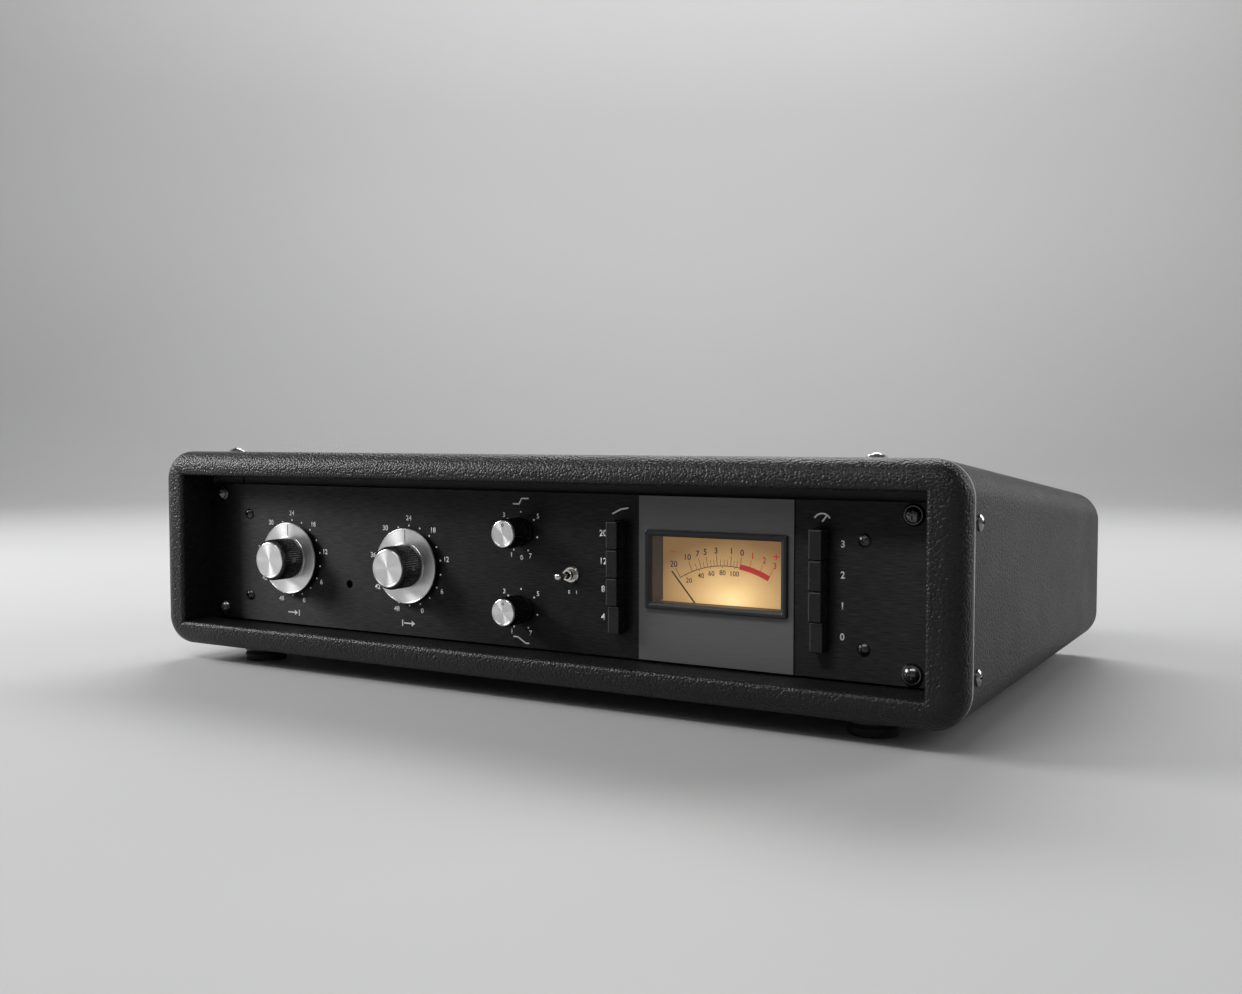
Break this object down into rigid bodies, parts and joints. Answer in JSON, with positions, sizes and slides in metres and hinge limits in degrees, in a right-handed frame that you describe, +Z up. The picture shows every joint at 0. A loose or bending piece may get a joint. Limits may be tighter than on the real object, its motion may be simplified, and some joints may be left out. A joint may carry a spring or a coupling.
{
  "type": "rack signal compressor in a desktop case",
  "caption": "Two-unit rack audio compressor in a rounded black desktop case, with turning dials, push buttons, a toggle and a lit needle meter.",
  "frame": {"origin": "on the table, under the middle of the case", "axes": "+X to the right along the front, +Y from the front to the rear, +Z up"},
  "size_m": [0.5328, 0.326, 0.1394],
  "materials": {
    "covering": "black pebbled covering over wood",
    "sleeve_paint": "black textured paint",
    "rubber": "matt rubber",
    "raw_wood": "planed wood",
    "bright_steel": "bright plated",
    "black_steel": "black oxide",
    "sheet_steel": "zinc plated sheet",
    "powder_black": "black powder coat",
    "panel_black": "black anodised, brushed along its length",
    "plate_grey": "grey satin anodised",
    "spun_aluminium": "spun bright aluminium",
    "knob_black": "black knurled",
    "nickel": "nickel plated",
    "button_black": "moulded, semi-gloss",
    "black_plastic": "moulded",
    "board_green": "lacquered board",
    "can_blue": "sleeved cans",
    "core_steel": "varnished laminations",
    "clear_glass": "clear",
    "amber_card": "translucent amber, lit from behind",
    "needle_black": "black lacquer"
  },
  "bodies": {
    "cabinet": {"front_frame": "covering", "outer_sleeve": "sleeve_paint", "rubber_feet": "rubber", "support_runners": "raw_wood", "rack_rails": "powder_black", "machine_screws": "bright_steel", "hex_nuts": "bright_steel", "cup_washers": "nickel", "wood_screws": "bright_steel", "chassis_screws": "black_steel", "front_panel": "panel_black", "meter_plate": "plate_grey", "chassis_tray": "powder_black", "chassis_lid": "powder_black", "rear_panel": "panel_black", "main_board": "board_green", "board_parts": "can_blue", "mains_transformer": "core_steel", "audio_transformers": "core_steel", "output_connector": "nickel", "input_socket": "nickel", "mains_inlet": "black_plastic", "fuse_holder": "black_plastic", "potentiometers": "sheet_steel", "bushing_nuts": "nickel", "toggle_body": "nickel", "switch_frames": "black_plastic", "meter_bezel": "black_plastic", "meter_glass": "clear_glass", "meter_housing": "black_plastic", "meter_dial": "amber_card", "meter_movement": "core_steel", "meter_lamp": "clear_glass"},
    "input_dial": {"input_shaft": "nickel", "input_knob": "knob_black", "input_cap": "spun_aluminium", "input_skirt": "spun_aluminium"},
    "output_dial": {"output_shaft": "nickel", "output_knob": "knob_black", "output_cap": "spun_aluminium", "output_skirt": "spun_aluminium"},
    "attack_dial": {"attack_shaft": "nickel", "attack_knob": "knob_black", "attack_cap": "spun_aluminium"},
    "release_dial": {"release_shaft": "nickel", "release_knob": "knob_black", "release_cap": "spun_aluminium"},
    "toggle": {"toggle_lever": "nickel"},
    "ratio_button_1": {"ratio_button_1": "button_black"},
    "ratio_button_2": {"ratio_button_2": "button_black"},
    "ratio_button_3": {"ratio_button_3": "button_black"},
    "ratio_button_4": {"ratio_button_4": "button_black"},
    "meter_button_1": {"meter_button_1": "button_black"},
    "meter_button_2": {"meter_button_2": "button_black"},
    "meter_button_3": {"meter_button_3": "button_black"},
    "meter_button_4": {"meter_button_4": "button_black"},
    "needle": {"meter_needle": "needle_black"},
    "fuse_cap": {"fuse_cap": "black_plastic"},
    "latch": {"socket_latch": "nickel"},
    "trimmer": {"trim_screw": "nickel"}
  },
  "joints": [
    {"name": "input_turn", "type": "hinge", "parent": "cabinet", "child": "input_dial", "pos_m": [-0.1705, -0.1395, 0.06965], "axis": [0, 1, 0], "range_deg": [-160, 160]},
    {"name": "output_turn", "type": "hinge", "parent": "cabinet", "child": "output_dial", "pos_m": [-0.075, -0.1395, 0.06965], "axis": [0, 1, 0], "range_deg": [-160, 160]},
    {"name": "attack_turn", "type": "hinge", "parent": "cabinet", "child": "attack_dial", "pos_m": [0.0063, -0.1395, 0.09295], "axis": [0, 1, 0], "range_deg": [-154.3, 154.3]},
    {"name": "release_turn", "type": "hinge", "parent": "cabinet", "child": "release_dial", "pos_m": [0.0063, -0.1395, 0.04925], "axis": [0, 1, 0], "range_deg": [-154.3, 154.3]},
    {"name": "toggle_throw", "type": "hinge", "parent": "cabinet", "child": "toggle", "pos_m": [0.041, -0.142, 0.07085], "axis": [0, 0, 1], "range_deg": [-12, 12]},
    {"name": "ratio_button_1_press", "type": "slide", "parent": "cabinet", "child": "ratio_button_1", "axis": [0, 1, 0], "range_m": [0, 0.003], "stiffness_N_per_m": 200},
    {"name": "ratio_button_2_press", "type": "slide", "parent": "cabinet", "child": "ratio_button_2", "axis": [0, 1, 0], "range_m": [0, 0.003], "stiffness_N_per_m": 200},
    {"name": "ratio_button_3_press", "type": "slide", "parent": "cabinet", "child": "ratio_button_3", "axis": [0, 1, 0], "range_m": [0, 0.003], "stiffness_N_per_m": 200},
    {"name": "ratio_button_4_press", "type": "slide", "parent": "cabinet", "child": "ratio_button_4", "axis": [0, 1, 0], "range_m": [-0.0022, 0.0008], "stiffness_N_per_m": 200},
    {"name": "meter_button_1_press", "type": "slide", "parent": "cabinet", "child": "meter_button_1", "axis": [0, 1, 0], "range_m": [0, 0.003], "stiffness_N_per_m": 200},
    {"name": "meter_button_2_press", "type": "slide", "parent": "cabinet", "child": "meter_button_2", "axis": [0, 1, 0], "range_m": [0, 0.003], "stiffness_N_per_m": 200},
    {"name": "meter_button_3_press", "type": "slide", "parent": "cabinet", "child": "meter_button_3", "axis": [0, 1, 0], "range_m": [0, 0.003], "stiffness_N_per_m": 200},
    {"name": "meter_button_4_press", "type": "slide", "parent": "cabinet", "child": "meter_button_4", "axis": [0, 1, 0], "range_m": [-0.0022, 0.0008], "stiffness_N_per_m": 200},
    {"name": "needle_swing", "type": "hinge", "parent": "cabinet", "child": "needle", "pos_m": [0.1282, -0.129, 0.03865], "axis": [0, 1, 0], "range_deg": [0, 80.6], "stiffness_Nm_per_rad": 0.0005},
    {"name": "fuse_cap_turn", "type": "hinge", "parent": "cabinet", "child": "fuse_cap", "pos_m": [0.125, 0.143, 0.06565], "axis": [0, 1, 0], "range_deg": [0, 90]},
    {"name": "latch_press", "type": "slide", "parent": "cabinet", "child": "latch", "axis": [0, -1, 0], "range_m": [0, 0.0015], "stiffness_N_per_m": 200},
    {"name": "trim_turn", "type": "hinge", "parent": "cabinet", "child": "trimmer", "pos_m": [-0.1224, -0.136, 0.05565], "axis": [0, 1, 0], "range_deg": [-135, 135]}
  ]
}
